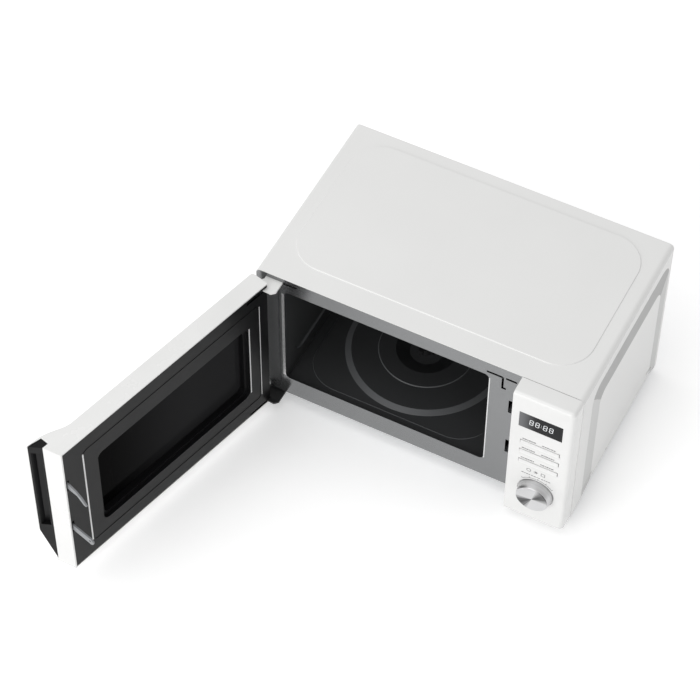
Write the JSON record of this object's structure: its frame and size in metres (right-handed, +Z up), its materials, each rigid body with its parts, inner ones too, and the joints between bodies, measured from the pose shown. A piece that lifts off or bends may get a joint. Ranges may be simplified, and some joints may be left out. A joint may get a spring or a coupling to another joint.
{
  "type": "microwave oven",
  "caption": "Countertop microwave oven with side-hinged door standing open on its stop, sprung latch hooks, rocker keys, turning knob, turntable drive and a furnished machine bay.",
  "frame": {"origin": "on the worktop, under the middle of the cabinet's footprint", "axes": "+X to the right seen from the front, +Y to the back, +Z up; the door swings out towards -Y"},
  "size_m": [0.5485, 0.6308, 0.2552],
  "materials": {
    "white_cover": "satin powder coat",
    "galvanised": "galvanised",
    "grey_enamel": "satin enamel",
    "dark_enamel": "semi-gloss enamel",
    "white_plastic": "semi-gloss ABS",
    "black_plastic": "satin",
    "grey_plastic": "satin",
    "light_plastic": "satin",
    "black_glass": "polished",
    "window_film": "polished",
    "screen_steel": "black enamel",
    "steel": "plated",
    "spun_aluminium": "spun",
    "mica": "matt",
    "laminations": "varnished",
    "circuit_board": "lacquered",
    "glass": "clear",
    "rubber": "matt"
  },
  "bodies": {
    "cabinet": {"outer_cover": "white_cover", "rear_panel": "galvanised", "cover_screws": "steel", "cord_gland": "black_plastic", "base_plate": "galvanised", "foot_front_left": "rubber", "foot_front_right": "rubber", "foot_rear_left": "rubber", "foot_rear_right": "rubber", "front_frame": "grey_enamel", "cavity_floor": "dark_enamel", "cavity_walls": "dark_enamel", "cavity_back": "dark_enamel", "mica_cover": "mica", "turntable_motor": "steel", "hinge_bracket_upper": "steel", "hinge_bracket_lower": "steel", "latch_board": "light_plastic", "switch_primary": "black_plastic", "switch_secondary": "black_plastic", "switch_monitor": "black_plastic", "waveguide": "galvanised", "magnetron": "steel", "thermal_cutout": "black_plastic", "transformer": "laminations", "transformer_screws": "steel", "capacitor": "steel", "capacitor_strap": "galvanised", "hv_diode": "black_plastic", "noise_filter": "circuit_board", "fan_shroud": "light_plastic", "fan_motor": "laminations", "lamp_holder": "light_plastic", "lamp_bulb": "glass", "control_panel": "white_plastic", "display_window": "window_film", "display_module": "black_plastic", "control_board": "circuit_board", "tact_switches": "black_plastic", "knob_encoder": "grey_plastic"},
    "door": {"door_frame": "white_plastic", "door_grip": "black_plastic", "door_window": "black_glass", "door_choke": "galvanised", "door_screen": "screen_steel", "door_inner_window": "window_film", "door_inner_panel": "black_plastic", "latch_spring": "steel"},
    "latch": {"latch_hooks": "grey_plastic"},
    "knob": {"control_knob": "spun_aluminium", "encoder_shaft": "steel"},
    "key_1": {"rocker_key_1": "white_plastic"},
    "key_2": {"rocker_key_2": "white_plastic"},
    "key_3": {"rocker_key_3": "white_plastic"},
    "fan": {"fan_rotor": "light_plastic"},
    "turntable": {"turntable_coupler": "black_plastic"}
  },
  "joints": [
    {"name": "door_hinge", "type": "hinge", "parent": "cabinet", "child": "door", "pos_m": [-0.2118, -0.151, 0.133], "axis": [0, 0, 1], "range_deg": [0, 105]},
    {"name": "latch_slide", "type": "slide", "parent": "door", "child": "latch", "axis": [0, 0, 1], "range_m": [0, 0.003], "stiffness_N_per_m": 400, "springref_m": -0.003, "deforming": ["latch_spring"]},
    {"name": "knob_turn", "type": "hinge", "parent": "cabinet", "child": "knob", "pos_m": [0.18005, -0.1613, 0.073], "axis": [0, -1, 0], "continuous": true},
    {"name": "fan_spin", "type": "hinge", "parent": "cabinet", "child": "fan", "pos_m": [0.1575, 0.1134, 0.19], "axis": [0, 1, 0], "continuous": true},
    {"name": "turntable_spin", "type": "hinge", "parent": "cabinet", "child": "turntable", "pos_m": [-0.04225, -0.01, 0.0508], "axis": [0, 0, 1], "continuous": true},
    {"name": "rocker_key_1_rock", "type": "hinge", "parent": "cabinet", "child": "key_1", "pos_m": [0.17995, -0.1566, 0.16572], "axis": [0, 0, 1], "range_deg": [-3, 3], "stiffness_Nm_per_rad": 0.25},
    {"name": "rocker_key_2_rock", "type": "hinge", "parent": "cabinet", "child": "key_2", "pos_m": [0.17995, -0.1566, 0.14727], "axis": [0, 0, 1], "range_deg": [-3, 3], "stiffness_Nm_per_rad": 0.25},
    {"name": "rocker_key_3_rock", "type": "hinge", "parent": "cabinet", "child": "key_3", "pos_m": [0.17995, -0.1566, 0.12727], "axis": [0, 0, 1], "range_deg": [-3, 3], "stiffness_Nm_per_rad": 0.25}
  ]
}
